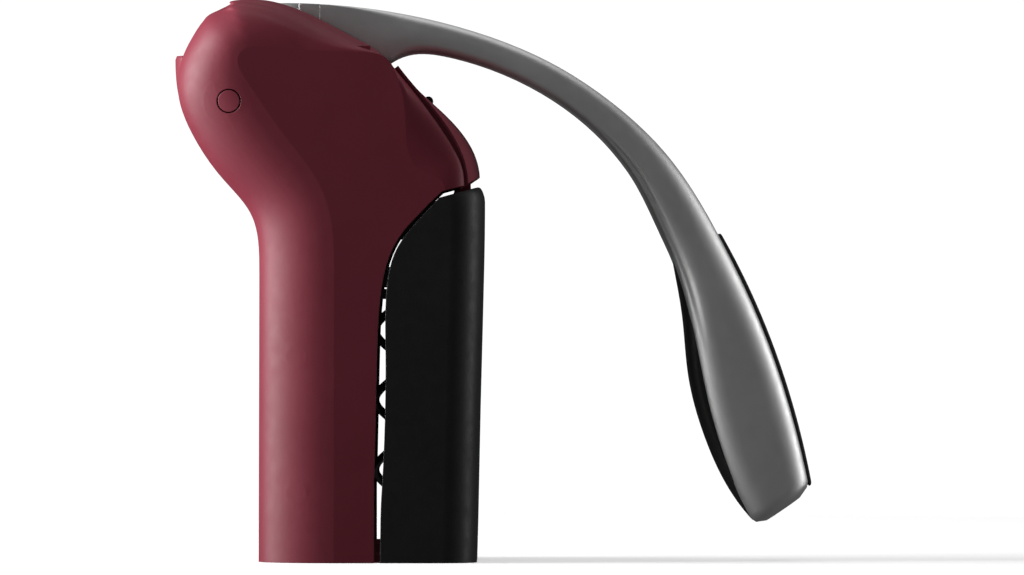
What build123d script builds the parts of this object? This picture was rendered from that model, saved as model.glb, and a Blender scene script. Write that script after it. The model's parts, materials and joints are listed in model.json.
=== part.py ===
from build123d import *
import math
import os

os.makedirs("parts", exist_ok=True)

# Frame: origin where the worm's axis meets the surface that the opener stands on.
# +X points to the lever's side, +Y to the opener's left side, +Z up. Millimetres.

# ---- body -------------------------------------------------------------------
HALF_WIDTH = 27.0          # half the body's width
WALL = 2.5                 # moulded walls
BACK_ROUND = 15.0          # the back edges are quarter ellipses: this far in from the side
BACK_DEPTH = 22.4          # and this far forward from the back
FRONT_ROUND = 3.5          # the head's front edges too
FRONT_DEPTH = 12.0
SEAM = 0.1                 # gap between parts that are screwed or pressed together
SLOT_HALF = 11.6           # half the width of the lever's slot
SLOT_FLOOR = 149.0         # top of the back wall, where the slot ends
SLOT_FRONT_X = 1.6         # where the slot ends at the front
SLOT_BACK_X = -45.0        # ahead of this the slot goes deeper, for the raised lever's neck
SLOT_DEEPER = 25.0
STEP_X = -60.3             # the step inside the back wall, where the raised lever leans
STEP_DEPTH = 2.2
EDGE_HALF = 11.4           # half the width of the back's proud edge
EDGE_DEPTH = 9.0
EDGE_INSET = 3.9
BOSS_R = 3.0
PIVOT_BOSS_R = 7.5
SCREW_R = 1.3
SCREW_HEAD_R = 2.5
SCREW_HEAD_DEPTH = 1.8
SCREW_SUNK = 4.5           # the heads lie this deep in the left shell
CAP_R = 3.2
CAP_GROOVE = 0.35
CAP_DEPTH = 3.0
PIN_END = 23.4             # half the pivot pin's length
PIN_LOOSE = 0.02           # how much smaller than its hole a pin is
SHELF_Z = (70.0, 77.0)     # shelf and socket that hold the guide rods' ends
SHELF_X = (-14.0, -4.7)
SHELF_DEPTH = 9.0
SOCKET_Z = (148.2, 151.5)
SOCKET_HALF = 4.2
TONGUE_X = (-6.4, 3.0)     # tongue that keeps the grip in line, and the lip below it
TONGUE_Z = (3.3, 5.6)
FOOT_LIP_Z = (0.0, 2.0)
TONGUE_ROOT_X = -6.9
BUMPER_PLACE = (12.0, 135.8)
BUMPER_R = 1.4
BUMPER_HALF = 2.9          # half the bumper's length
SPINE_WALL = (-1.9, -1.3)  # how far behind the crease the spine's wall starts

# ---- lever and crank --------------------------------------------------------
PIVOT_X = -46.2
PIVOT_Z = 135.3
PIVOT_R = 4.0
RUNNING = 0.05             # radial running clearance
LEVER_HALF = 10.4          # half the width of the lever's neck
PALM_HALF = 15.5           # half the width of the lever's palm
LEVER_ROUND = 4.5
HUB_R = 9.0
CRANK_R = 30.0             # from the pivot to the crank pin
CRANK_ANGLE = 64.0         # below the horizontal, lever down
CRANK_ROOT_R = 7.6
CRANK_END_R = 4.6
CRANK_PIN_R = 2.0
CRANK_PLATE = 3.2          # thickness of the crank's plates
WASHER_R = 7.0
WASHER_THICK = 0.65
INNER_PAD_HALF = 12.0      # half the pad's width
INNER_PAD_CROWN = 2.6      # how much its face falls away at the sides
OUTER_PAD_HALF = 9.5
ROLLER_R = 3.5
ROLLER_HALF = 5.9
CRANK_X = PIVOT_X + CRANK_R * math.cos(math.radians(CRANK_ANGLE))
CRANK_Z = PIVOT_Z - CRANK_R * math.sin(math.radians(CRANK_ANGLE))

# ---- worm and carriage ------------------------------------------------------
WORM_R = 3.7               # from the axis to the wire's centre
WIRE_R = 1.2
PITCH = 20.6
WORM_PHASE = -108.9        # the wire's direction from the axis at WORM_PHASE_Z
WORM_PHASE_Z = 51.5
WORM_TIP_Z = 18.0
POINT_LENGTH = 5.0
SHANK_R = 5.0
COLLAR_R = 6.0
COLLAR_THICK = 1.4
RETAINER_THICK = 1.3
POINT_END_R = 0.25
NUT_Z = 77.3               # underside of the worm nut
NUT_THICK = 3.0
NUT_HOLE_R = 5.5
FOLLOWER_R = 0.9
FOLLOWER_TURN = 56.0       # the follower pins stand this far round from the wire
CARRIAGE_Z = 80.7          # underside of the carriage
CARRIAGE_THICK = 4.6
CARRIAGE_HALF = 22.5
PLATE_X = (-13.0, 8.5)     # the carriage plate's ends
YOKE_HALF = 5.0            # half the thickness of the yoke plate
YOKE_X = (-35.5, -8.0)     # the yoke plate's ends
YOKE_ABOVE = 4.2           # slot's edge above the crank pin, lever down
YOKE_BELOW = 6.9           # slot's edge below it, which frees the roller's curved path
YOKE_PRONG = 2.8
ROD_X = -9.0
ROD_Y = 18.5
ROD_R = 2.5
ROD_Z = (73.0, 150.0)
BUSH_R = 3.6
SLEEVE_R = 5.0
SLEEVE_TOP = 97.0

# ---- bottle neck ------------------------------------------------------------
NECK_BORE_R = 15.2
LIP_Z = 64.0               # the bottle's lip stops here
LIP_HOLE_R = 12.8
LIP_THICK = 2.5
PAD_THICK = 2.0
PAD_Z = (6.0, 62.0)
JAW_THICK = 2.4
JAW_FOOT = 4.0
REAR_JAW_X = -4.3          # the rear jaw's ends
FRONT_JAW_X = 1.4          # the front jaw's ends
RIB_Z = (12.0, 36.0, 50.0)
RIB_THICK = 2.0

# ---- squeeze grip -----------------------------------------------------------
GRIP_ROUND = 10.0
HINGE_X = 21.4
HINGE_Z = 102.6
HINGE_R = 1.6
HINGE_BOSS_R = 3.6
LUG_R = 3.4
LUG_Y = (9.0, 13.0)
LUG_GAP = 0.4              # from the lug to the sides of its notch
SPRING_R = 2.6
SPRING_WIRE_R = 0.5
SPRING_PITCH = 1.5
SPRING_LENGTH = 9.0
FLAP_THICK = 0.8           # flap behind the gap between the grip and the head
FLAP_Z = (95.0, 106.0)
FLAP_REACH = 3.6
GRIP_FRONT = 28.7          # the grip's front at its widest
GRIP_FOOT = 26.4           # and at its foot
GRIP_TOP = 110.1
GRIP_TOP_SLOPE = 0.28

# ---- worked-out sizes -------------------------------------------------------
INNER_HALF = HALF_WIDTH - WALL
JAW_R = NECK_BORE_R + PAD_THICK + SEAM
REAR_JAW = (-35.1, REAR_JAW_X)
FRONT_JAW = (FRONT_JAW_X, 23.7)
PLATE_TOP = CARRIAGE_Z + CARRIAGE_THICK
PLATE_MIDDLE = (PLATE_X[0] + PLATE_X[1]) / 2
SPINE_EDGE = INNER_HALF + 0.1
SHELF_Y = (INNER_HALF - SHELF_DEPTH, INNER_HALF + 0.5)
TONGUE_Y = (INNER_HALF - 2.4, INNER_HALF - 0.7)
COIL_TOP = CARRIAGE_Z + 1.0
COIL_FOOT = WORM_TIP_Z + POINT_LENGTH * 0.6

# ---- side outlines: (x, z) points on the XZ plane ------------------------------

# up the back, over the crown and down the slot's edge
BACK = [
    (-37.9, 0.0), (-37.7, 84.0), (-40.9, 103.6), (-48.4, 112.6), (-57.4, 125.8), (-61.6, 138.0), (-60.1, 149.0),
    (-56.7, 155.6), (-52.2, 160.9), (-46.0, 164.3), (-39.0, 165.4), (-28.0, 163.2), (-10.2, 154.6), (0.2, 147.2),
]
# how much of the rounding each point takes
BACK_SHARE = [1, 1, 1, 1, 1, 0.95, 0.8, 0.7, 0.66, 0.64, 0.64, 0.58, 0.25, 0]
CREASE_SHARE = [0, 0.6, 1, 0.5]
CROWN = 10                 # the crown's highest point in that list
BACK_EDGE = [(-58.9, 128.5), (-61.9, 137.5), (-62.8, 148.0)]
CREASE = [(0.2, 147.2), (11.2, 134.4), (20.6, 120.6), (23.0, 110.6)]
SPINE_TOP = (2.4, 145.0)
CREASE_LINE = [SPINE_TOP] + CREASE[1:]
SPINE = [(3.0, 144.9), (8.9, 139.0), (18.4, 130.3), (25.2, 121.0), (27.2, 113.2)]
UNDER_SPINE = (16.2, 108.8)
BODY_SEAM = [(12.6, 105.4), (4.4, 96.4), (0.0, 87.3), (-1.9, 77.0), (-2.8, 60.0), (-3.6, 25.0), (-3.7, 0.0)]
GRIP_SEAM = [(15.4, 107.0), (9.4, 100.6), (2.3, 90.6), (0.1, 81.0), (-0.3, 60.0), (-1.2, 25.0), (-1.9, 0.0)]
DOWN_FRONT = (1, -1.1)
UNDER_HEAD = (-1, -1.1)
ROUND_STEPS = 5

LEVER_TOP = [
    (-34.0, 164.5), (-16.0, 164.0), (4.0, 161.5), (24.3, 156.6), (49.1, 146.5), (65.7, 135.6), (82.3, 119.9),
    (98.3, 94.7), (110.7, 68.1), (119.6, 41.4), (124.6, 20.0),
]
LEVER_UNDER = [
    (110.6, 10.4), (106.6, 17.0), (100.4, 31.5), (95.2, 50.0), (90.6, 72.5), (85.2, 90.3), (78.1, 103.9),
    (65.7, 121.7), (49.1, 135.9), (32.6, 144.4), (18.0, 148.9), (9.0, 149.9), (0.0, 146.5),
]
TOP_SHARE = [0.5, 0.5, 0.5, 0.5, 0.5, 0.6, 0.8, 1, 1, 1, 1]
UNDER_SHARE = [1, 1, 1, 1, 1, 0.9, 0.8, 0.6, 0.5, 0.5, 0.5, 0.5, 0.5]
LEVER_NECK = [
    (0.0, 146.5), (-14.0, 140.5), (-38.0, 129.5), (-45.0, 127.5), (-49.0, 137.0), (-38.1, 140.6), (-30.4, 144.3),
    (-26.4, 147.4), (-28.2, 149.9), (-35.5, 153.8), (-38.0, 158.0), (-36.5, 162.0), (-34.0, 163.9), (-25.5, 164.0),
]
INNER_PAD = [(83.4, 92.8), (84.7, 85.8), (87.0, 72.5), (88.8, 54.8), (93.5, 37.0), (102.1, 19.2), (108.3, 11.4)]
OUTER_PAD = [(98.2, 96.9), (112.0, 68.3), (120.9, 41.4), (125.2, 22.4)]
# half the lever's width at each x
PLAN = [(-60.0, LEVER_HALF), (5.0, LEVER_HALF), (50.0, 11.6), (86.0, 14.6), (104.0, PALM_HALF), (126.0, 13.6)]

SCREW_PLACES = [(-26.5, 20.5), (-26.5, 60.5), (0.0, 136.5), (15.0, 117.5)]
ROD_PLACES = [(ROD_X, ROD_Y), (ROD_X, -ROD_Y)]


def wire_angle(height):
    """Direction of the worm's wire from the axis at a height, in degrees."""
    return WORM_PHASE + 360.0 * (height - WORM_PHASE_Z) / PITCH


def write(piece, label):
    """Names a finished piece and writes its STEP file."""
    piece.part.label = label
    export_step(piece.part, "parts/" + label + ".step")


def moved_in(points, shares, depth):
    """The points moved to the right of their direction of travel, each by its share of the depth."""
    moved = []
    for number, (x, z) in enumerate(points):
        before = points[max(number - 1, 0)]
        after = points[min(number + 1, len(points) - 1)]
        run = Vector(after[0] - before[0], after[1] - before[1]).normalized()
        moved.append((x + run.Y * depth * shares[number], z - run.X * depth * shares[number]))
    return moved


def back_lines(points):
    """The back and the crown, in the active BuildLine."""
    Line((points[0][0], 0), points[1])
    Spline(*points[1:CROWN + 1], tangents=[(0, 1), (1, 0)])
    Spline(*points[CROWN:], tangents=[(1, 0), DOWN_FRONT])


def front_inset(y):
    """How far the head's front edge stands back at one distance from the middle."""
    reach = max(abs(y) - HALF_WIDTH + FRONT_ROUND, 0.0) / FRONT_ROUND
    return FRONT_DEPTH * (1 - math.sqrt(max(1 - reach * reach, 0.0)))


def body_section(y, depth):
    """The side panel's outline at one distance from the middle, its back rounded in by depth."""
    points = moved_in(BACK, BACK_SHARE, depth)
    crease = moved_in(CREASE, CREASE_SHARE, front_inset(y))
    with BuildSketch(Plane.XZ.offset(-y)) as face:
        with BuildLine():
            back_lines(points)
            Spline(*crease, tangents=[DOWN_FRONT, (0, -1)])
            Polyline(crease[-1], UNDER_SPINE, BODY_SEAM[0])
            Spline(*BODY_SEAM, tangents=[UNDER_HEAD, (0, -1)])
            Line(BODY_SEAM[-1], (points[0][0], 0))
        make_face()
    return face.sketch


def back_edge_section(y, depth):
    """The back's proud edge."""
    line = moved_in(BACK_EDGE, [1] * len(BACK_EDGE), depth)
    with BuildSketch(Plane.XZ.offset(-y)) as face:
        with BuildLine():
            Spline(*line, tangents=[(-0.45, 1), (0, 1)])
            Polyline(line[-1], (line[-1][0] + 0.4, SLOT_FLOOR), (-50.0, SLOT_FLOOR), (-50.0, 126.0), line[0])
        make_face()
    return face.sketch


def cavity_section(y, depth):
    """The hollow inside the body, which runs out through the seam, the crease and the base."""
    wall_line = moved_in(BACK, [1] * len(BACK), WALL)
    points = moved_in(wall_line, BACK_SHARE, depth)
    with BuildSketch(Plane.XZ.offset(-y)) as face:
        with BuildLine():
            back_lines(points)
            Polyline(points[-1], (4.0, 150.0), (60.0, 110.0), (60.0, 0.0), (points[0][0], 0.0))
        make_face()
    return face.sketch


def grip_front_line(front, foot):
    """The grip's front, from its foot up, in the active BuildLine."""
    Spline((foot, 0.0), (front - 1.4, 41.0), (front - 0.3, 84.0), (front, 105.0), tangents=[(0.03, 1), (0, 1)])


def grip_section(y, depth):
    """The grip's outline at one distance from the middle, its front rounded in by depth."""
    front = GRIP_FRONT - depth
    top = GRIP_TOP - GRIP_TOP_SLOPE * depth
    with BuildSketch(Plane.XZ.offset(-y)) as face:
        with BuildLine():
            grip_front_line(front, GRIP_FOOT - depth)
            Spline((front, 105.0), (front - 0.5, top - 1.5), (front - 2.2, top), tangents=[(0, 1), (-1, -0.2)])
            Line((front - 2.2, top), GRIP_SEAM[0])
            Spline(*GRIP_SEAM, tangents=[UNDER_HEAD, (0, -1)])
            Line(GRIP_SEAM[-1], (GRIP_FOOT - depth, 0.0))
        make_face()
    return face.sketch


def grip_hollow_section(y, depth):
    """The hollow inside the grip, open at its seam and its foot."""
    front = GRIP_FRONT - WALL - depth
    with BuildSketch(Plane.XZ.offset(-y)) as face:
        with BuildLine():
            grip_front_line(front, GRIP_FOOT - WALL - depth)
            Polyline((front, 105.0), (front - 1.4, GRIP_TOP - WALL - 0.4 - GRIP_TOP_SLOPE * depth), (15.4, 104.4),
                     (-20.0, 93.0), (-20.0, 0.0))
            Line((-20.0, 0.0), (GRIP_FOOT - WALL - depth, 0.0))
        make_face()
    return face.sketch


def lever_section(y, depth):
    """The lever's outline at one distance from the middle, both edges rounded in by depth."""
    top = moved_in(LEVER_TOP, TOP_SHARE, depth)
    under = moved_in(LEVER_UNDER, UNDER_SHARE, depth)
    with BuildSketch(Plane.XZ.offset(-y)) as face:
        with BuildLine():
            Spline(*top)
            Line(top[-1], under[0])
            Spline(*under)
            Line(under[-1], top[0])
        make_face()
    return face.sketch


def rounded_block(section, half, depth, inset):
    """A block from -half to half along Y whose edges round in by inset over the last depth, on quarter ellipses."""
    with BuildPart() as block:
        with BuildSketch(Plane.XZ):
            add(section(0, 0))
        extrude(amount=half - depth, both=True)
        for side in (-1, 1):
            sections = []
            for step in range(ROUND_STEPS + 1):
                turn = math.radians(90.0 * step / ROUND_STEPS)
                y = half - depth + depth * math.sin(turn)
                sections.append(section(side * y, inset * (1 - math.cos(turn))))
            loft(sections=sections)
    return block.part


# ---- body shells ----------------------------------------------------------------


def side_box(side, x_range, y_range, z_range, mode=Mode.ADD):
    """A block on one side of the middle, in the active part."""
    with BuildSketch(Plane.XY.offset(z_range[0])) as foot:
        with Locations(((x_range[0] + x_range[1]) / 2, side * (y_range[0] + y_range[1]) / 2)):
            Rectangle(x_range[1] - x_range[0], y_range[1] - y_range[0])
    extrude(foot.sketch, amount=z_range[1] - z_range[0], mode=mode)


body_block = rounded_block(body_section, HALF_WIDTH, BACK_ROUND, BACK_DEPTH)

with BuildPart() as bosses:
    with BuildSketch(Plane.XZ):
        with Locations(*SCREW_PLACES):
            Circle(BOSS_R)
    extrude(amount=HALF_WIDTH, both=True)
    for side in (-1, 1):
        with BuildSketch(Plane.XZ.offset(-side * (LEVER_HALF + 0.8))):
            with Locations((PIVOT_X, PIVOT_Z)):
                Circle(PIVOT_BOSS_R)
        extrude(amount=-side * (INNER_HALF - LEVER_HALF))
    add(body_block, mode=Mode.INTERSECT)

with BuildPart() as shell_pair:
    add(body_block)
    # the back stands a little proud below the slot
    add(rounded_block(back_edge_section, EDGE_HALF, EDGE_DEPTH, EDGE_INSET))
    add(rounded_block(cavity_section, INNER_HALF, BACK_ROUND - WALL, BACK_DEPTH - WALL), mode=Mode.SUBTRACT)
    # the lever's slot, cut through the crown
    side_box(1, (-80.0, SLOT_FRONT_X), (-SLOT_HALF, SLOT_HALF), (SLOT_FLOOR, 180.0), Mode.SUBTRACT)
    side_box(1, (SLOT_BACK_X, SLOT_FRONT_X), (-SLOT_HALF, SLOT_HALF), (SLOT_FLOOR - SLOT_DEEPER, 180.0),
             Mode.SUBTRACT)
    # the raised lever leans into a step inside the back wall
    side_box(1, (STEP_X, SLOT_BACK_X), (-SLOT_HALF, SLOT_HALF), (SLOT_FLOOR - STEP_DEPTH, 180.0), Mode.SUBTRACT)
    for side in (-1, 1):
        # shelf and socket that hold the guide rod's ends
        side_box(side, SHELF_X, SHELF_Y, SHELF_Z)
        side_box(side, (ROD_X - SOCKET_HALF, ROD_X + SOCKET_HALF), SHELF_Y, SOCKET_Z)
        # tongue that keeps the grip in line, the lip below it and the block that carries both
        side_box(side, TONGUE_X, TONGUE_Y, TONGUE_Z)
        side_box(side, TONGUE_X, TONGUE_Y, FOOT_LIP_Z)
        side_box(side, (TONGUE_ROOT_X, REAR_JAW_X), (TONGUE_Y[0], SHELF_Y[1]), (0.0, TONGUE_Z[1]))
    with BuildSketch(Plane.XY.offset(ROD_Z[0])):
        with Locations(*ROD_PLACES):
            Circle(ROD_R)
    extrude(amount=ROD_Z[1] - ROD_Z[0], mode=Mode.SUBTRACT)
    add(bosses.part)


def body_shell(side):
    """One half of the body; side is -1 for the right shell and +1 for the left."""
    with BuildPart() as half:
        add(shell_pair.part)
        side_box(-side, (-90.0, 60.0), (-SEAM / 2, 60.0), (-1.0, 180.0), Mode.SUBTRACT)
        with BuildSketch(Plane.XZ.offset(-side * HALF_WIDTH)):
            with Locations((PIVOT_X, PIVOT_Z)):
                Circle(CAP_R + CAP_GROOVE)
        extrude(amount=side * CAP_DEPTH, mode=Mode.SUBTRACT)
        with BuildSketch(Plane.XZ.offset(-side * (PIN_END + SEAM))):
            with Locations((PIVOT_X, PIVOT_Z)):
                Circle(PIVOT_R)
        extrude(amount=side * PIN_END, mode=Mode.SUBTRACT)
        with BuildSketch(Plane.XZ):
            with Locations(*SCREW_PLACES):
                Circle(SCREW_R)
        extrude(amount=-side * (INNER_HALF - 3.5), mode=Mode.SUBTRACT)
        if side > 0:
            with BuildSketch(Plane.XZ.offset(-HALF_WIDTH - 1.0)):
                with Locations(*SCREW_PLACES):
                    Circle(SCREW_HEAD_R)
            extrude(amount=1.0 + SCREW_SUNK + SCREW_HEAD_DEPTH, mode=Mode.SUBTRACT)
    return half


right_body_shell = body_shell(-1)
left_body_shell = body_shell(1)
write(right_body_shell, "right_body_shell")
write(left_body_shell, "left_body_shell")

with BuildPart() as shell_screws:
    for x, z in SCREW_PLACES:
        with BuildSketch(Plane.XZ.offset(-(HALF_WIDTH - SCREW_SUNK))):
            with Locations((x, z)):
                Circle(SCREW_HEAD_R - 0.1)
                RegularPolygon(1.1, 6, mode=Mode.SUBTRACT)
        extrude(amount=SCREW_HEAD_DEPTH - 0.1)
        with BuildSketch(Plane.XZ.offset(-(HALF_WIDTH - SCREW_SUNK - SCREW_HEAD_DEPTH + 0.5))):
            with Locations((x, z)):
                Circle(SCREW_R - SEAM)
        extrude(amount=HALF_WIDTH - SCREW_SUNK - SCREW_HEAD_DEPTH + 12.0)
write(shell_screws, "shell_screws")

# ---- front spine, with the lugs that the grip hangs from ---------------------------


def shifted(points, x, z):
    """The points moved by x and z."""
    return [(point[0] + x, point[1] + z) for point in points]


def strip(inner, outer, plane):
    """A face between two curves that run the same way."""
    with BuildSketch(plane) as face:
        with BuildLine():
            Spline(*inner)
            Line(inner[-1], outer[-1])
            Spline(*outer)
            Line(outer[0], inner[0])
        make_face()
    return face.sketch


with BuildPart() as front_spine:
    # crowned skin: thick in the middle, thin at the crease
    crease = shifted(CREASE_LINE, 0.35, 0.2)
    loft(sections=[
        strip(crease, shifted(crease, 0.6, 0.5), Plane.XZ.offset(SPINE_EDGE)),
        strip(crease, SPINE, Plane.XZ),
        strip(crease, shifted(crease, 0.6, 0.5), Plane.XZ.offset(-SPINE_EDGE)),
    ])
    # the wall behind the skin, between the side panels
    add(extrude(strip(shifted(crease, *SPINE_WALL), shifted(crease, 0.4, 0.3), Plane.XZ),
                amount=INNER_HALF - 0.3, both=True, mode=Mode.PRIVATE))
    # two lugs that carry the grip's hinge pin
    for side in (-1, 1):
        with BuildSketch(Plane.XZ.offset(-side * LUG_Y[0])):
            with Locations((HINGE_X, HINGE_Z)):
                Circle(LUG_R)
            with BuildLine():
                Polyline((HINGE_X - LUG_R, HINGE_Z), (HINGE_X - 0.8, 112.5), (HINGE_X + 3.0, 112.5),
                         (HINGE_X + LUG_R, HINGE_Z), close=True)
            make_face()
            with Locations((HINGE_X, HINGE_Z)):
                Circle(HINGE_R + RUNNING, mode=Mode.SUBTRACT)
        extrude(amount=-side * (LUG_Y[1] - LUG_Y[0]))
    # seat of the bumper
    with BuildSketch(Plane.XZ):
        with Locations(BUMPER_PLACE):
            Circle(BUMPER_R + SEAM)
    extrude(amount=BUMPER_HALF + SEAM, both=True, mode=Mode.SUBTRACT)
write(front_spine, "front_spine")

with BuildPart() as spine_bumper:
    with BuildSketch(Plane.XZ):
        with Locations(BUMPER_PLACE):
            Circle(BUMPER_R)
    extrude(amount=BUMPER_HALF, both=True)
    fillet(spine_bumper.edges(), 0.5)
write(spine_bumper, "spine_bumper")

# ---- pivot ----------------------------------------------------------------------

with BuildPart() as pivot_pin:
    with BuildSketch(Plane.XZ):
        with Locations((PIVOT_X, PIVOT_Z)):
            Circle(PIVOT_R - PIN_LOOSE)
    extrude(amount=PIN_END, both=True)
    chamfer(pivot_pin.edges(), 0.4)
write(pivot_pin, "pivot_pin")


def pivot_cap(side):
    """Round cap pressed into a shell over the pivot."""
    with BuildPart() as cap:
        with BuildSketch(Plane.XZ.offset(-side * (HALF_WIDTH - CAP_DEPTH + PIN_LOOSE))):
            with Locations((PIVOT_X, PIVOT_Z)):
                Circle(CAP_R)
        extrude(amount=-side * (CAP_DEPTH - PIN_LOOSE))
        add(body_block, mode=Mode.INTERSECT)
    return cap


write(pivot_cap(-1), "right_pivot_cap")
write(pivot_cap(1), "left_pivot_cap")

with BuildPart() as pivot_washers:
    for side in (-1, 1):
        with BuildSketch(Plane.XZ.offset(-side * (LEVER_HALF + SEAM))):
            with Locations((PIVOT_X, PIVOT_Z)):
                Circle(WASHER_R)
                Circle(PIVOT_R + RUNNING, mode=Mode.SUBTRACT)
        extrude(amount=-side * WASHER_THICK)
write(pivot_washers, "pivot_washers")

# ---- lever ----------------------------------------------------------------------

with BuildPart() as lever_arm:
    add(rounded_block(lever_section, PALM_HALF, LEVER_ROUND, LEVER_ROUND))
    # narrows from the palm to the neck
    with BuildSketch() as plan:
        with BuildLine():
            Spline(*PLAN[1:], tangents=[(1, 0), (1, -0.2)])
            Polyline(PLAN[-1], (PLAN[-1][0], -PLAN[-1][1]))
            Spline(*[(x, -y) for x, y in PLAN[1:]], tangents=[(1, 0), (1, 0.2)])
            Polyline((PLAN[1][0], -PLAN[1][1]), (PLAN[0][0], -PLAN[0][1]), PLAN[0], PLAN[1])
        make_face()
    extrude(amount=200.0, mode=Mode.INTERSECT)
    # neck and hub
    with BuildSketch(Plane.XZ):
        with BuildLine():
            Polyline(*LEVER_NECK, close=True)
        make_face()
        with Locations((PIVOT_X, PIVOT_Z)):
            Circle(HUB_R)
    extrude(amount=LEVER_HALF, both=True)
    # twin crank plates
    for side in (-1, 1):
        with BuildSketch(Plane.XZ.offset(-side * (ROLLER_HALF + 0.3))):
            with Locations((PIVOT_X, PIVOT_Z)):
                Circle(CRANK_ROOT_R)
            with Locations((CRANK_X, CRANK_Z)):
                Circle(CRANK_END_R)
            make_hull()
        extrude(amount=-side * CRANK_PLATE)
    with BuildSketch(Plane.XZ):
        with Locations((PIVOT_X, PIVOT_Z)):
            Circle(PIVOT_R + RUNNING)
        with Locations((CRANK_X, CRANK_Z)):
            Circle(CRANK_PIN_R)
    extrude(amount=PALM_HALF, both=True, mode=Mode.SUBTRACT)
write(lever_arm, "lever_arm")

with BuildPart() as crank_pin:
    with BuildSketch(Plane.XZ):
        with Locations((CRANK_X, CRANK_Z)):
            Circle(CRANK_PIN_R - PIN_LOOSE)
    extrude(amount=ROLLER_HALF + CRANK_PLATE + 0.3, both=True)
    chamfer(crank_pin.edges(), 0.3)
write(crank_pin, "crank_pin")

with BuildPart() as yoke_roller:
    with BuildSketch(Plane.XZ):
        with Locations((CRANK_X, CRANK_Z)):
            Circle(ROLLER_R)
            Circle(CRANK_PIN_R + RUNNING, mode=Mode.SUBTRACT)
    extrude(amount=ROLLER_HALF, both=True)
write(yoke_roller, "yoke_roller")


def inner_pad_section(y, depth):
    """The crowned pad under the palm, at one distance from the middle."""
    face_line = shifted(INNER_PAD, depth, 0.1 * depth)
    return strip(face_line, shifted(LEVER_UNDER[5:0:-1], 3.0, 0.0), Plane.XZ.offset(-y))


with BuildPart() as lever_inner_pad:
    loft(sections=[
        inner_pad_section(share * INNER_PAD_HALF, INNER_PAD_CROWN * share ** 4) for share in (-1, -2 / 3, 0, 2 / 3, 1)
    ])
    add(lever_arm.part, mode=Mode.SUBTRACT)
write(lever_inner_pad, "lever_inner_pad")

with BuildPart() as lever_outer_pad:
    with BuildSketch(Plane.XZ):
        add(strip(OUTER_PAD, shifted(OUTER_PAD, -5.0, -2.0), Plane.XZ))
    extrude(amount=OUTER_PAD_HALF, both=True)
    add(lever_arm.part, mode=Mode.SUBTRACT)
write(lever_outer_pad, "lever_outer_pad")

# ---- worm carriage ----------------------------------------------------------------

with BuildPart() as worm_carriage:
    with BuildSketch(Plane.XY.offset(CARRIAGE_Z)):
        with Locations((PLATE_MIDDLE, 0)):
            RectangleRounded(PLATE_X[1] - PLATE_X[0], 2 * CARRIAGE_HALF, 3.0)
    extrude(amount=CARRIAGE_THICK)
    with BuildSketch(Plane.XY.offset(CARRIAGE_Z)):
        with Locations(*ROD_PLACES):
            Circle(SLEEVE_R)
    extrude(amount=SLEEVE_TOP - CARRIAGE_Z)
    # yoke plate, with a slot that is open at the back
    slot_low = CRANK_Z - YOKE_BELOW
    slot_high = CRANK_Z + YOKE_ABOVE
    slot_end = PIVOT_X + CRANK_R + ROLLER_R + 0.4
    with BuildSketch(Plane.XZ):
        with BuildLine():
            Polyline((PLATE_X[0], CARRIAGE_Z), (PLATE_X[0], PLATE_TOP + 4.0), (YOKE_X[0] + 1.5, slot_low - YOKE_PRONG),
                     (YOKE_X[0] + 1.5, slot_low), (slot_end, slot_low), (slot_end, slot_high), (YOKE_X[0], slot_high),
                     (YOKE_X[0], slot_high + YOKE_PRONG), (slot_end - 3.0, slot_high + YOKE_PRONG),
                     (YOKE_X[1], slot_high - 2.0), (YOKE_X[1], CARRIAGE_Z), close=True)
        make_face()
    extrude(amount=YOKE_HALF, both=True)
    with BuildSketch(Plane.XY.offset(CARRIAGE_Z)):
        Circle(SHANK_R + RUNNING)
        with Locations(*ROD_PLACES):
            Circle(BUSH_R)
    extrude(amount=30.0, mode=Mode.SUBTRACT)
    with BuildSketch(Plane.XY.offset(CARRIAGE_Z)):
        Circle(COLLAR_R + RUNNING)
    extrude(amount=COLLAR_THICK + 2 * SEAM, mode=Mode.SUBTRACT)
write(worm_carriage, "worm_carriage")

with BuildPart() as rod_bushes:
    with BuildSketch(Plane.XY.offset(CARRIAGE_Z)):
        for place in ROD_PLACES:
            with Locations(place):
                Circle(BUSH_R - PIN_LOOSE)
                Circle(ROD_R + RUNNING, mode=Mode.SUBTRACT)
    extrude(amount=SLEEVE_TOP - CARRIAGE_Z)
write(rod_bushes, "rod_bushes")

with BuildPart() as guide_rods:
    with BuildSketch(Plane.XY.offset(ROD_Z[0] + 0.1)):
        with Locations(*ROD_PLACES):
            Circle(ROD_R - PIN_LOOSE)
    extrude(amount=ROD_Z[1] - ROD_Z[0] - 0.2)
    chamfer(guide_rods.edges(), 0.3)
write(guide_rods, "guide_rods")

with BuildPart() as worm_nut:
    with BuildSketch(Plane.XY.offset(NUT_Z)):
        with Locations((PLATE_MIDDLE, 0)):
            RectangleRounded(PLATE_X[1] - PLATE_X[0], 2 * CARRIAGE_HALF, 3.0)
        Circle(NUT_HOLE_R, mode=Mode.SUBTRACT)
        with Locations(*ROD_PLACES):
            Circle(ROD_R + RUNNING, mode=Mode.SUBTRACT)
    extrude(amount=NUT_THICK)
    # follower pins that ride in the worm's groove
    follower_z = NUT_Z + NUT_THICK / 2
    for turn in (-FOLLOWER_TURN, FOLLOWER_TURN):
        direction = Vector(1, 0, 0).rotate(Axis.Z, wire_angle(follower_z) + turn)
        start = direction * (WORM_R - 0.7) + Vector(0, 0, follower_z)
        with BuildSketch(Plane(origin=start, z_dir=direction)):
            Circle(FOLLOWER_R)
        extrude(amount=NUT_HOLE_R - WORM_R + 1.2)
write(worm_nut, "worm_nut")

# ---- worm ---------------------------------------------------------------------------

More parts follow.
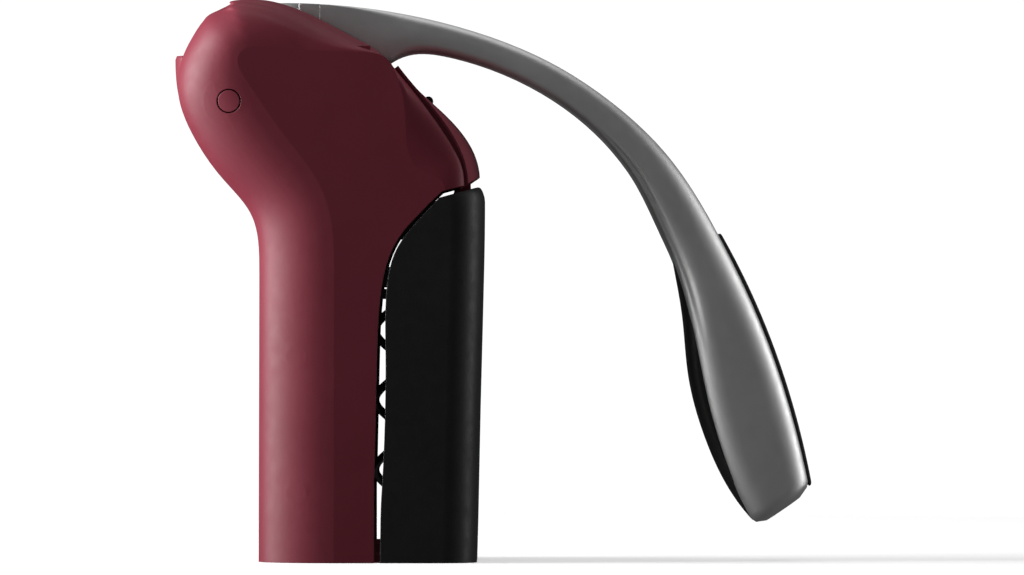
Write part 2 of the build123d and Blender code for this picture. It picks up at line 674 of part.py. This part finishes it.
with BuildPart() as worm:
    coil = Helix(pitch=PITCH, height=COIL_TOP - COIL_FOOT, radius=WORM_R)
    coil = coil.rotate(Axis.Z, wire_angle(COIL_FOOT)).translate((0, 0, COIL_FOOT))
    with BuildSketch(Plane(origin=coil @ 0, z_dir=coil % 0)):
        Circle(WIRE_R)
    sweep(path=coil, is_frenet=True)
    # sharpened point
    down = (coil % 0) * -1
    with BuildSketch(Plane(origin=coil @ 0, z_dir=down)):
        Circle(WIRE_R)
    with BuildSketch(Plane(origin=(coil @ 0) + down * POINT_LENGTH, z_dir=down)):
        Circle(POINT_END_R)
    loft()
    # shank and collar that turn in the carriage
    with BuildSketch(Plane.XY.offset(CARRIAGE_Z + SEAM)):
        Circle(COLLAR_R)
    extrude(amount=COLLAR_THICK)
    with BuildSketch(Plane.XY.offset(CARRIAGE_Z + SEAM)):
        Circle(SHANK_R)
    extrude(amount=CARRIAGE_THICK + SEAM)
write(worm, "worm")

with BuildPart() as worm_retainer:
    with BuildSketch(Plane.XY.offset(PLATE_TOP + 2 * SEAM)):
        Circle(COLLAR_R)
    extrude(amount=RETAINER_THICK)
    fillet(worm_retainer.edges().group_by(Axis.Z)[-1], 0.5)
write(worm_retainer, "worm_retainer")

# ---- bottle jaws ----------------------------------------------------------------------


def jaw(x_range, corner_x, corner_y):
    """Half ring round the bottle's neck, its lip stop and the ribs that hold it.

    The ribs' outer corners are quarter ellipses, corner_x by corner_y."""
    width = x_range[1] - x_range[0]
    middle = (x_range[0] + x_range[1]) / 2
    rear = x_range[1] < 0
    inward = 1 if rear else -1
    inner_end = x_range[1] if rear else x_range[0]
    rib_half = INNER_HALF - 0.1

    def trimmed(outer, inner, low, high):
        with BuildSketch(Plane.XY.offset(low)) as ring:
            Circle(outer)
            Circle(inner, mode=Mode.SUBTRACT)
            with Locations((middle, 0)):
                Rectangle(width, 2 * INNER_HALF, mode=Mode.INTERSECT)
        extrude(ring.sketch, amount=high - low)

    with BuildPart() as half_ring:
        trimmed(JAW_R + JAW_THICK, JAW_R, JAW_FOOT, LIP_Z + LIP_THICK)
        trimmed(JAW_R + 0.5, LIP_HOLE_R, LIP_Z, LIP_Z + LIP_THICK)
        for rib_z in RIB_Z:
            with BuildSketch(Plane.XY.offset(rib_z)) as rib:
                with Locations((middle, 0)):
                    Rectangle(width, 2 * (rib_half - corner_y))
                with Locations((inner_end - inward * (width - corner_x) / 2, 0)):
                    Rectangle(width - corner_x, 2 * rib_half)
                with Locations(*[(inner_end - inward * (width - corner_x), y) for y in (corner_y - rib_half,
                                                                                        rib_half - corner_y)]):
                    Ellipse(corner_x, corner_y)
                with Locations((middle, 0)):
                    Rectangle(width, 2 * rib_half, mode=Mode.INTERSECT)
                Circle(JAW_R + 0.5, mode=Mode.SUBTRACT)
            extrude(rib.sketch, amount=RIB_THICK)
    return half_ring


def jaw_pad(x_range):
    """Rubber lining of a jaw."""
    with BuildPart() as pad:
        with BuildSketch(Plane.XY.offset(PAD_Z[0])):
            Circle(JAW_R - SEAM)
            Circle(NECK_BORE_R, mode=Mode.SUBTRACT)
            with Locations(((x_range[0] + x_range[1]) / 2, 0)):
                Rectangle(x_range[1] - x_range[0], 2 * INNER_HALF, mode=Mode.INTERSECT)
        extrude(amount=PAD_Z[1] - PAD_Z[0])
    return pad


write(jaw(REAR_JAW, BACK_DEPTH - WALL, BACK_ROUND - WALL), "rear_neck_jaw")
write(jaw_pad(REAR_JAW), "rear_neck_pad")
write(jaw(FRONT_JAW, GRIP_ROUND - WALL + 0.4, GRIP_ROUND - WALL + 0.4), "front_neck_jaw")
write(jaw_pad(FRONT_JAW), "front_neck_pad")

# ---- squeeze grip -----------------------------------------------------------------------

with BuildPart() as grip_shell:
    add(rounded_block(grip_section, HALF_WIDTH, GRIP_ROUND, GRIP_ROUND))
    add(rounded_block(grip_hollow_section, INNER_HALF, GRIP_ROUND - WALL, GRIP_ROUND - WALL), mode=Mode.SUBTRACT)
    for side in (-1, 1):
        # notch for the lug, and the boss that holds the pin beside it
        side_box(side, (HINGE_X - 4.2, HINGE_X + 4.4), (LUG_Y[0] - LUG_GAP, LUG_Y[1] + LUG_GAP), (98.0, 115.0),
                 Mode.SUBTRACT)
        with BuildSketch(Plane.XZ.offset(-side * (LUG_Y[1] + LUG_GAP))):
            with Locations((HINGE_X, HINGE_Z)):
                Circle(HINGE_BOSS_R)
        extrude(amount=-side * (INNER_HALF - LUG_Y[1] - 1.5))
        # flap that closes the gap to the head from inside
        with BuildSketch(Plane.XZ.offset(-side * (INNER_HALF - 2 * SEAM))):
            with BuildLine():
                Spline(*shifted(GRIP_SEAM[:4], 3.0, -2.0))
                Line((GRIP_SEAM[3][0] + 3.0, GRIP_SEAM[3][1] - 2.0), (GRIP_SEAM[3][0] - FLAP_REACH, GRIP_SEAM[3][1]))
                Spline(*reversed(shifted(GRIP_SEAM[:4], -FLAP_REACH, 0.0)))
                Line((GRIP_SEAM[0][0] - FLAP_REACH, GRIP_SEAM[0][1]), (GRIP_SEAM[0][0] + 3.0, GRIP_SEAM[0][1] - 2.0))
            make_face()
            with Locations((0.0, (FLAP_Z[0] + FLAP_Z[1]) / 2)):
                Rectangle(80.0, FLAP_Z[1] - FLAP_Z[0], mode=Mode.INTERSECT)
        extrude(amount=side * FLAP_THICK)
    with BuildSketch(Plane.XZ):
        with Locations((HINGE_X, HINGE_Z)):
            Circle(HINGE_R)
    extrude(amount=INNER_HALF - 3.0, both=True, mode=Mode.SUBTRACT)
write(grip_shell, "grip_shell")

with BuildPart() as grip_hinge_pin:
    with BuildSketch(Plane.XZ):
        with Locations((HINGE_X, HINGE_Z)):
            Circle(HINGE_R - PIN_LOOSE)
    extrude(amount=INNER_HALF - 3.1, both=True)
write(grip_hinge_pin, "grip_hinge_pin")

with BuildPart() as grip_spring:
    turns = Helix(pitch=SPRING_PITCH, height=SPRING_LENGTH, radius=SPRING_R)
    turns = turns.rotate(Axis.X, 90).translate((HINGE_X, SPRING_LENGTH / 2, HINGE_Z))
    with BuildSketch(Plane(origin=turns @ 0, z_dir=turns % 0)):
        Circle(SPRING_WIRE_R)
    sweep(path=turns, is_frenet=True)
write(grip_spring, "grip_spring")
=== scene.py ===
"""Looks of the lever corkscrew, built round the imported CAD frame. Metres, in the frame's own axes."""
import json
import math

import bmesh
import bpy
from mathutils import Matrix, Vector
from mathutils.bvhtree import BVHTree


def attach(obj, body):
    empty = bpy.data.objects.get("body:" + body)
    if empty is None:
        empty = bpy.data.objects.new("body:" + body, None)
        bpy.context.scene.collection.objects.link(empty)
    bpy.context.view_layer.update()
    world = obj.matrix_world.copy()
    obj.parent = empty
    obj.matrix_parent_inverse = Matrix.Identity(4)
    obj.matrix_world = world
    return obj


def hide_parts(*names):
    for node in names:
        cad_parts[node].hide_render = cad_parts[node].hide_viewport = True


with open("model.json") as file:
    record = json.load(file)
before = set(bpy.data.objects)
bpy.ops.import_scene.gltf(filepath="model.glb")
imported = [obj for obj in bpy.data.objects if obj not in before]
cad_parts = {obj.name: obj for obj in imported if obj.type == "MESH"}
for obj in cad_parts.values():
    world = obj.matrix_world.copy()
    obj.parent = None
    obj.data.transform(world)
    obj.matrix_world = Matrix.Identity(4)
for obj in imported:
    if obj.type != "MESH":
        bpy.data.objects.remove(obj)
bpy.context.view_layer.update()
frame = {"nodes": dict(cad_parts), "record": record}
nodes = frame["nodes"]

# ---- material helpers ------------------------------------------------------------


class Look:
    """A node material under construction."""

    def __init__(self, name, color, roughness, metallic=0.0):
        self.material = bpy.data.materials.new(name)
        self.material.use_nodes = True
        self.tree = self.material.node_tree
        self.shader = self.tree.nodes["Principled BSDF"]
        self.shader.inputs["Base Color"].default_value = (*color, 1.0)
        self.shader.inputs["Roughness"].default_value = roughness
        self.shader.inputs["Metallic"].default_value = metallic
        self.place = self.node("ShaderNodeTexCoord").outputs["Object"]
        self.normal = None

    def node(self, kind, **settings):
        made = self.tree.nodes.new(kind)
        for key, value in settings.items():
            setattr(made, key, value)
        return made

    def link(self, output, socket):
        self.tree.links.new(output, socket)

    def stretched(self, scale):
        """Object coordinates, scaled by a different amount along each axis."""
        mapping = self.node("ShaderNodeMapping")
        mapping.inputs["Scale"].default_value = scale
        self.link(self.place, mapping.inputs["Vector"])
        return mapping.outputs["Vector"]

    def noise(self, scale, detail=2.0, vector=None):
        made = self.node("ShaderNodeTexNoise")
        made.inputs["Scale"].default_value = scale
        made.inputs["Detail"].default_value = detail
        self.link(vector or self.place, made.inputs["Vector"])
        return made.outputs["Fac"]

    def ramp(self, value, low, high):
        """The value spread over low to high, which are numbers or colours."""
        made = self.node("ShaderNodeMapRange")
        made.inputs["From Min"].default_value = 0.3
        made.inputs["From Max"].default_value = 0.7
        made.inputs["To Min"].default_value = low
        made.inputs["To Max"].default_value = high
        self.link(value, made.inputs["Value"])
        return made.outputs["Result"]

    def colors(self, value, low, high):
        """Base colour that drifts between two colours."""
        made = self.node("ShaderNodeMix", data_type="RGBA")
        made.inputs["A"].default_value = (*low, 1.0)
        made.inputs["B"].default_value = (*high, 1.0)
        self.link(self.ramp(value, 0.0, 1.0), made.inputs["Factor"])
        self.link(made.outputs["Result"], self.shader.inputs["Base Color"])

    def roughness(self, value, low, high):
        self.link(self.ramp(value, low, high), self.shader.inputs["Roughness"])

    def soft_edges(self, radius):
        """Edges catch the light as if rounded by this radius."""
        made = self.node("ShaderNodeBevel", samples=4)
        made.inputs["Radius"].default_value = radius
        self.normal = made.outputs["Normal"]
        self.link(self.normal, self.shader.inputs["Normal"])

    def bump(self, height, distance, strength=1.0):
        made = self.node("ShaderNodeBump")
        made.inputs["Distance"].default_value = distance
        made.inputs["Strength"].default_value = strength
        self.link(height, made.inputs["Height"])
        if self.normal:
            self.link(self.normal, made.inputs["Normal"])
        self.normal = made.outputs["Normal"]
        self.link(self.normal, self.shader.inputs["Normal"])

    def set(self, **values):
        for key, value in values.items():
            self.shader.inputs[key.replace("_", " ")].default_value = value


def moulded(name, low, high, roughness, grain=2500.0, depth=0.00004, edge=0.0003):
    """Moulded plastic or rubber with a fine spark-eroded grain."""
    look = Look(name, low, roughness)
    look.soft_edges(edge)
    look.colors(look.noise(60.0, 3.0), low, high)
    look.roughness(look.noise(300.0, 3.0), roughness - 0.05, roughness + 0.06)
    look.bump(look.noise(grain, 2.0), depth, 0.5)
    return look


def metal(name, low, high, roughness, grain=(900.0, 40.0, 40.0), depth=0.00001, edge=0.0003):
    """Bare metal whose finish runs one way."""
    look = Look(name, low, roughness, metallic=1.0)
    look.soft_edges(edge)
    streaks = look.noise(1.0, 3.0, look.stretched(grain))
    look.colors(streaks, low, high)
    look.roughness(streaks, roughness - 0.05, roughness + 0.07)
    look.bump(streaks, depth, 0.4)
    return look


# ---- materials ---------------------------------------------------------------------


def body_paint():
    """Satin maroon enamel: faint orange peel under a soft clear coat."""
    look = Look("maroon_satin", (0.25, 0.028, 0.050), 0.52)
    look.soft_edges(0.0004)
    look.colors(look.noise(35.0, 4.0), (0.235, 0.025, 0.046), (0.265, 0.031, 0.055))
    look.roughness(look.noise(220.0, 3.0), 0.50, 0.57)
    look.bump(look.noise(900.0, 2.0), 0.00003, 0.35)
    look.set(Coat_Weight=0.05, Coat_Roughness=0.45, Specular_IOR_Level=0.40)
    return look.material


def lever_metal():
    """Cast metal, bead-blasted and satin plated."""
    look = Look("satin_plate", (0.90, 0.90, 0.90), 0.50, metallic=1.0)
    look.soft_edges(0.0005)
    look.colors(look.noise(45.0, 4.0), (0.87, 0.87, 0.87), (0.94, 0.94, 0.94))
    look.roughness(look.noise(500.0, 3.0), 0.47, 0.54)
    look.bump(look.noise(2600.0, 2.0), 0.00002, 0.4)
    return look.material


def grip_plastic():
    return moulded("grip_black", (0.008, 0.008, 0.009), (0.012, 0.012, 0.013), 0.50,
                   grain=1800.0, depth=0.00005, edge=0.0004).material


def pad_rubber():
    return moulded("pad_black", (0.014, 0.014, 0.014), (0.020, 0.020, 0.020), 0.62,
                   grain=2200.0, depth=0.00006).material


def rubber():
    return moulded("black_rubber", (0.018, 0.018, 0.018), (0.026, 0.026, 0.026), 0.7,
                   grain=1500.0, depth=0.00008).material


def inner_plastic():
    return moulded("inner_plastic", (0.04, 0.04, 0.043), (0.055, 0.055, 0.058), 0.5).material


def carriage_plastic():
    """Glass-filled nylon: pale fibres just show."""
    look = moulded("glass_filled_nylon", (0.05, 0.05, 0.053), (0.10, 0.10, 0.105), 0.55)
    fibres = look.noise(1.0, 4.0, look.stretched((2600.0, 350.0, 350.0)))
    look.colors(fibres, (0.045, 0.045, 0.048), (0.11, 0.11, 0.115))
    return look.material


def nylon():
    return moulded("natural_nylon", (0.66, 0.64, 0.58), (0.74, 0.72, 0.67), 0.45).material


def steel():
    return metal("ground_steel", (0.50, 0.50, 0.52), (0.62, 0.62, 0.64), 0.27).material


def bronze():
    """Sintered bronze: pores between the grains."""
    look = metal("sintered_bronze", (0.46, 0.30, 0.14), (0.60, 0.42, 0.22), 0.42, grain=(700.0, 700.0, 700.0))
    look.bump(look.noise(3500.0, 1.0), 0.00005, 0.5)
    return look.material


def worm_coating():
    """Dark non-stick coating over steel wire."""
    look = moulded("worm_coating", (0.020, 0.020, 0.022), (0.032, 0.032, 0.035), 0.33,
                   grain=3000.0, depth=0.00002, edge=0.0001)
    look.set(Coat_Weight=0.3, Coat_Roughness=0.2)
    return look.material


FINISHES = {
    "body": body_paint(),
    "lever": lever_metal(),
    "grip": grip_plastic(),
    "pad": pad_rubber(),
    "rubber": rubber(),
    "inner_plastic": inner_plastic(),
    "carriage_plastic": carriage_plastic(),
    "nylon": nylon(),
    "steel": steel(),
    "bronze": bronze(),
    "worm_coating": worm_coating(),
}
SLOT_OF = {part["node"]: part["material_slot"] for part in frame["record"]["subparts"]}


def dress(obj, slot):
    obj.data.materials.clear()
    obj.data.materials.append(FINISHES[slot])


for name, obj in nodes.items():
    dress(obj, SLOT_OF[name])

# ---- lever -----------------------------------------------------------------------------

ARM_LINE = [                 # a line inside the lever from its root to its tip, (x, z)
    (-0.026, 0.1560), (0.005, 0.1555), (0.045, 0.1430), (0.080, 0.1090), (0.103, 0.0600), (0.1173, 0.0158),
]
ARM_STATIONS = 150
GUIDE_STEPS = 48             # to each stretch of the line
WELD = 0.000001
CORNER_POINTS = 14           # in each of the section's four corners
SIDE_POINTS = 24             # up each side of the section
TIP_ROUND = 0.0034           # rounding of the lever's free end
TIP_OUT = (0.825, 0.0, 0.565)    # the free end's face runs this way
TIP_SPAN = (0.86, 1.0)       # share of the length over which the section turns that way
ROOT_SPAN = (0.035, 0.15)    # share over which the root's square edges become round
ROOT_CORNER = 0.1            # how much of the rounding the root has
ROOT_PROUD = 0.00002         # covers the cut through the CAD root
CORNER_LIMIT = 0.9           # the most that a corner takes of half the section
ARM_CORNER = (0.0024, 0.0026)    # the section's rounded corners: up the side and in from it
PALM_CORNER = (0.0066, 0.0036)
SIDE_CROWN = (0.0010, 0.0012)    # how far the side swells in its middle, on the arm and on the palm
PALM_RIM = 0.0016            # the palm's sides stand this far down round the pad
RIM_SPAN = (0.50, 0.62)      # share of the length over which they come down
PALM_SPAN = (0.42, 0.66)     # share of the length over which the arm's section becomes the palm's
ROOT_CUT_X = -0.020          # behind this the casting is the CAD shape
FLUTE_SPAN = (0.42, 0.78)    # share of the length along which a flute runs down each side
FLUTE_FADE = (0.1, 0.12)     # share over which it starts and ends
FLUTE_PLACE = -0.70          # its place across the side, -1 at the under edge
FLUTE_WIDTH = 0.075
FLUTE_DEPTH = 0.0006


def spline_through(points, count):
    """Evenly spaced points and directions on a smooth curve through points on the XZ plane."""
    data = bpy.data.curves.new("guide", "CURVE")
    data.dimensions = "3D"
    data.resolution_u = GUIDE_STEPS
    bezier = data.splines.new("BEZIER")
    bezier.bezier_points.add(len(points) - 1)
    for knot, (x, z) in zip(bezier.bezier_points, points):
        knot.co = (x, 0.0, z)
        knot.handle_left_type = knot.handle_right_type = "AUTO"
    guide = bpy.data.objects.new("guide", data)
    mesh = bpy.data.meshes.new_from_object(guide)
    line = [v.co.copy() for v in mesh.vertices]
    bpy.data.objects.remove(guide)
    bpy.data.meshes.remove(mesh)
    lengths = [0.0]
    for before, after in zip(line, line[1:]):
        lengths.append(lengths[-1] + (after - before).length)
    stations = []
    segment = 0
    for number in range(count):
        wanted = lengths[-1] * number / (count - 1)
        while segment < len(line) - 2 and lengths[segment + 1] < wanted:
            segment += 1
        run = line[segment + 1] - line[segment]
        share = (wanted - lengths[segment]) / run.length
        stations.append((line[segment] + run * share, wanted))
    placed = []
    for number, (point, wanted) in enumerate(stations):
        before = stations[max(number - 1, 0)][0]
        after = stations[min(number + 1, count - 1)][0]
        placed.append((point, (after - before).normalized(), wanted / lengths[-1]))
    return placed, lengths[-1]


def welded(node):
    """The node's mesh as a bmesh with its split corners joined."""
    mesh = bmesh.new()
    mesh.from_mesh(nodes[node].data)
    bmesh.ops.remove_doubles(mesh, verts=mesh.verts, dist=WELD)
    return mesh


def object_from(mesh, name, slot, body, sharp_degrees=35.0):
    """A finished piece from a bmesh, smooth shaded with sharp edges kept."""
    data = bpy.data.meshes.new(name)
    mesh.to_mesh(data)
    mesh.free()
    data.shade_smooth()
    data.set_sharp_from_angle(angle=math.radians(sharp_degrees))
    obj = bpy.data.objects.new(name, data)
    bpy.context.scene.collection.objects.link(obj)
    dress(obj, slot)
    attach(obj, body)
    return obj


def smooth_rise(value, low, high):
    share = min(max((value - low) / (high - low), 0.0), 1.0)
    return share * share * (3 - 2 * share)


def section_outline(tall, wide, corner_up, corner_in):
    """A rounded rectangle of half sizes tall and wide, as (in, up) points."""
    outline = []
    for quarter, (sign_in, sign_up) in enumerate(((1, 1), (-1, 1), (-1, -1), (1, -1))):
        corner = []
        for number in range(CORNER_POINTS + 1):
            turn = math.pi / 2 * number / CORNER_POINTS
            corner.append((sign_in * (wide - corner_in * (1 - math.cos(turn))),
                           sign_up * (tall - corner_up * (1 - math.sin(turn)))))
        if quarter % 2:
            corner.reverse()
        outline += corner
        if quarter % 2:
            # up or down a side, between two corners
            side, start = corner[-1]
            outline += [(side, start * (1 - 2 * number / SIDE_POINTS)) for number in range(1, SIDE_POINTS)]
    return outline


def reach(solid, point, direction):
    """How far the solid's surface is from a point inside it."""
    return solid.ray_cast(point, direction)[3]


def arm_rings(solid):
    """Rings of points round the arm and palm, each measured on the CAD lever."""
    stations, length = spline_through(ARM_LINE, ARM_STATIONS)
    across = Vector((0.0, 1.0, 0.0))
    rings = []
    for point, along, share in stations:
        out = along.cross(across)
        if out.dot(Vector((1.0, 0.0, 1.0))) < 0:
            out.negate()
        out = out.lerp(Vector(TIP_OUT), smooth_rise(share, *TIP_SPAN)).normalized()
        top = reach(solid, point, out)
        under = reach(solid, point, -out) + PALM_RIM * smooth_rise(share, *RIM_SPAN)
        half = reach(solid, point, across) + ROOT_PROUD
        left = length * (1 - share)
        inset = 0.0
        if left < TIP_ROUND:
            inset = TIP_ROUND - math.sqrt(TIP_ROUND ** 2 - (TIP_ROUND - left) ** 2)
        middle = point + out * (top - under) / 2
        tall = (top + under) / 2 - inset
        wide = half - inset
        flute = smooth_rise(share, FLUTE_SPAN[0], FLUTE_SPAN[0] + FLUTE_FADE[0])
        flute *= 1 - smooth_rise(share, FLUTE_SPAN[1] - FLUTE_FADE[1], FLUTE_SPAN[1])
        palm = smooth_rise(share, *PALM_SPAN)
        corner_up = ARM_CORNER[0] + (PALM_CORNER[0] - ARM_CORNER[0]) * palm
        corner_in = ARM_CORNER[1] + (PALM_CORNER[1] - ARM_CORNER[1]) * palm
        crown = SIDE_CROWN[0] + (SIDE_CROWN[1] - SIDE_CROWN[0]) * palm
        rounding = smooth_rise(share, *ROOT_SPAN)
        corner_up *= ROOT_CORNER + (1 - ROOT_CORNER) * rounding
        corner_in *= ROOT_CORNER + (1 - ROOT_CORNER) * rounding
        crown *= rounding
        ring = []
        corner_up = min(corner_up, tall * CORNER_LIMIT)
        corner_in = min(corner_in, wide * CORNER_LIMIT)
        for side, up in section_outline(tall, wide, corner_up, corner_in):
            side *= 1 - crown / wide * (up / tall) ** 2
            groove = FLUTE_DEPTH * flute * math.exp(-((up / tall - FLUTE_PLACE) / FLUTE_WIDTH) ** 2)
            if abs(side) > wide / 2:
                side -= math.copysign(groove, side)
            ring.append(middle + out * up + across * side)
        rings.append(ring)
    return rings


def lever_casting():
    """The lever: arm and palm as one flowing form, and the CAD root with its hub and crank."""
    root = welded("lever_arm")
    solid = BVHTree.FromBMesh(root)
    rings = arm_rings(solid)
    bmesh.ops.bisect_plane(root, geom=root.verts[:] + root.edges[:] + root.faces[:],
                           plane_co=(ROOT_CUT_X, 0, 0), plane_no=(1, 0, 0), clear_outer=True)
    bmesh.ops.holes_fill(root, edges=[edge for edge in root.edges if edge.is_boundary])
    made = [[root.verts.new(point) for point in ring] for ring in rings]
    for before, after in zip(made, made[1:]):
        for number in range(len(before)):
            following = (number + 1) % len(before)
            root.faces.new((before[number], before[following], after[following], after[number]))
    root.faces.new(list(reversed(made[0])))
    root.faces.new(made[-1])
    bmesh.ops.recalc_face_normals(root, faces=root.faces)
    obj = object_from(root, "lever_casting", "lever", "lever")
    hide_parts("lever_arm")


lever_casting()

# ---- palm pads -------------------------------------------------------------------------

PAD_VOXEL = 0.0006
PAD_SOFTENING = 6            # passes
PAD_SHARP = 60.0             # edges sharper than this many degrees stay sharp


def palm_pad(node, name):
    """Soft pad with rounded edges."""
    source = bpy.data.objects.new("pad_source", bpy.data.meshes.new("pad_source"))
    mesh = welded(node)
    mesh.to_mesh(source.data)
    mesh.free()
    bpy.context.scene.collection.objects.link(source)
    remesh = source.modifiers.new("remesh", "REMESH")
    remesh.mode = "VOXEL"
    remesh.voxel_size = PAD_VOXEL
    soften = source.modifiers.new("soften", "SMOOTH")
    soften.iterations = PAD_SOFTENING
    evaluated = source.evaluated_get(bpy.context.evaluated_depsgraph_get())
    pad = bmesh.new()
    pad.from_mesh(evaluated.to_mesh())
    bpy.data.objects.remove(source)
    obj = object_from(pad, name, "pad", "lever", PAD_SHARP)
    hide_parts(node)


palm_pad("lever_inner_pad", "palm_pad")
palm_pad("lever_outer_pad", "back_pad")

# ---- floor, light and camera ---------------------------------------------------------

FLOOR_RADIUS = 0.5
SURROUND = 0.07              # the room's light on the object
BACKDROP = 1.05              # what the camera sees behind it


def floor():
    mesh = bmesh.new()
    bmesh.ops.create_circle(mesh, cap_ends=True, segments=96, radius=FLOOR_RADIUS)
    data = bpy.data.meshes.new("studio_floor")
    mesh.to_mesh(data)
    mesh.free()
    obj = bpy.data.objects.new("studio_floor", data)
    bpy.context.scene.collection.objects.link(obj)
    look = Look("floor_paper", (0.86, 0.86, 0.86), 0.9)
    look.roughness(look.noise(40.0, 2.0), 0.88, 0.94)
    look.set(Emission_Color=(1.0, 1.0, 1.0, 1.0), Emission_Strength=0.55, Specular_IOR_Level=0.1)
    data.materials.append(look.material)
    obj.visible_diffuse = False
    obj.visible_glossy = False


def softbox(name, place, size, watts, target=(0.0, 0.0, 0.09)):
    data = bpy.data.lights.new(name, "AREA")
    data.shape = "RECTANGLE"
    data.size, data.size_y = size
    data.energy = watts
    obj = bpy.data.objects.new(name, data)
    obj.location = place
    aim = Vector(target) - Vector(place)
    obj.rotation_euler = aim.to_track_quat("-Z", "Y").to_euler()
    bpy.context.scene.collection.objects.link(obj)


def studio():
    world = bpy.data.worlds.new("studio")
    world.use_nodes = True
    tree = world.node_tree
    surround = tree.nodes["Background"]
    surround.inputs["Color"].default_value = (1.0, 1.0, 1.0, 1.0)
    surround.inputs["Strength"].default_value = SURROUND
    backdrop = tree.nodes.new("ShaderNodeBackground")
    backdrop.inputs["Color"].default_value = (1.0, 1.0, 1.0, 1.0)
    backdrop.inputs["Strength"].default_value = BACKDROP
    path = tree.nodes.new("ShaderNodeLightPath")
    mix = tree.nodes.new("ShaderNodeMixShader")
    tree.links.new(path.outputs["Is Camera Ray"], mix.inputs[0])
    tree.links.new(surround.outputs[0], mix.inputs[1])
    tree.links.new(backdrop.outputs[0], mix.inputs[2])
    tree.links.new(mix.outputs[0], tree.nodes["World Output"].inputs["Surface"])
    bpy.context.scene.world = world
    bpy.context.scene.view_settings.view_transform = "Standard"
    softbox("key_left", (-1.30, -0.10, 0.30), (0.5, 1.2), 36.0)
    softbox("rim_right", (1.25, -0.08, 0.30), (0.4, 1.0), 4.5)
    softbox("top", (0.05, 0.30, 1.30), (1.4, 1.0), 3.2)


CAMERA_PLACE = (0.0367, -2.4, 0.0807)
FRAME_WIDTH = 0.303          # what the picture spans at the worm's axis
SENSOR = 36.0                # millimetres


def camera():
    data = bpy.data.cameras.new("camera")
    data.sensor_width = SENSOR
    data.lens = SENSOR * abs(CAMERA_PLACE[1]) / FRAME_WIDTH
    data.clip_end = 20.0
    obj = bpy.data.objects.new("camera", data)
    obj.location = CAMERA_PLACE
    obj.rotation_euler = (math.pi / 2, 0.0, 0.0)
    bpy.context.scene.collection.objects.link(obj)
    bpy.context.scene.camera = obj


floor()
studio()
camera()
